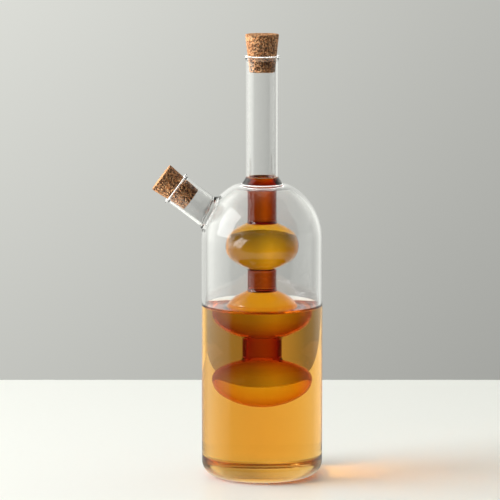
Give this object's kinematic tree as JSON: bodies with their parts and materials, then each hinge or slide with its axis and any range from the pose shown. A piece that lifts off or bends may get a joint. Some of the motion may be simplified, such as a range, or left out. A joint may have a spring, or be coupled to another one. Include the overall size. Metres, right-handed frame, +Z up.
{
  "type": "oil and vinegar bottle",
  "caption": "Clear glass oil bottle with a slanted corked spout and a corked neck, and a sealed amber glass vessel of stacked bulbs inside for vinegar.",
  "frame": {"origin": "middle of the flat base, on the surface that the bottle stands on", "axes": "+Z up along the bottle's axis, -X towards the pouring spout"},
  "size_m": [0.1055, 0.075, 0.275],
  "materials": {
    "clear_glass": "polished blown borosilicate glass",
    "amber_glass": "polished amber blown glass",
    "cork": "agglomerated cork, matte",
    "oil": "clear golden liquid",
    "vinegar": "clear pale liquid"
  },
  "bodies": {
    "bottle": {"outer_bottle": "clear_glass", "pouring_spout": "clear_glass", "neck_tube": "clear_glass", "seal_collar": "amber_glass", "inner_vessel": "amber_glass", "oil_fill": "oil", "vinegar_fill": "vinegar"},
    "neck_stopper": {"neck_cork": "cork"},
    "spout_stopper": {"spout_cork": "cork"}
  },
  "joints": [
    {"name": "neck_cork_pull", "type": "slide", "parent": "bottle", "child": "neck_stopper", "axis": [0, 0, 1], "range_m": [0, 0.04]},
    {"name": "spout_cork_pull", "type": "slide", "parent": "bottle", "child": "spout_stopper", "axis": [-0.7986, 0, 0.6018], "range_m": [0, 0.04]}
  ]
}
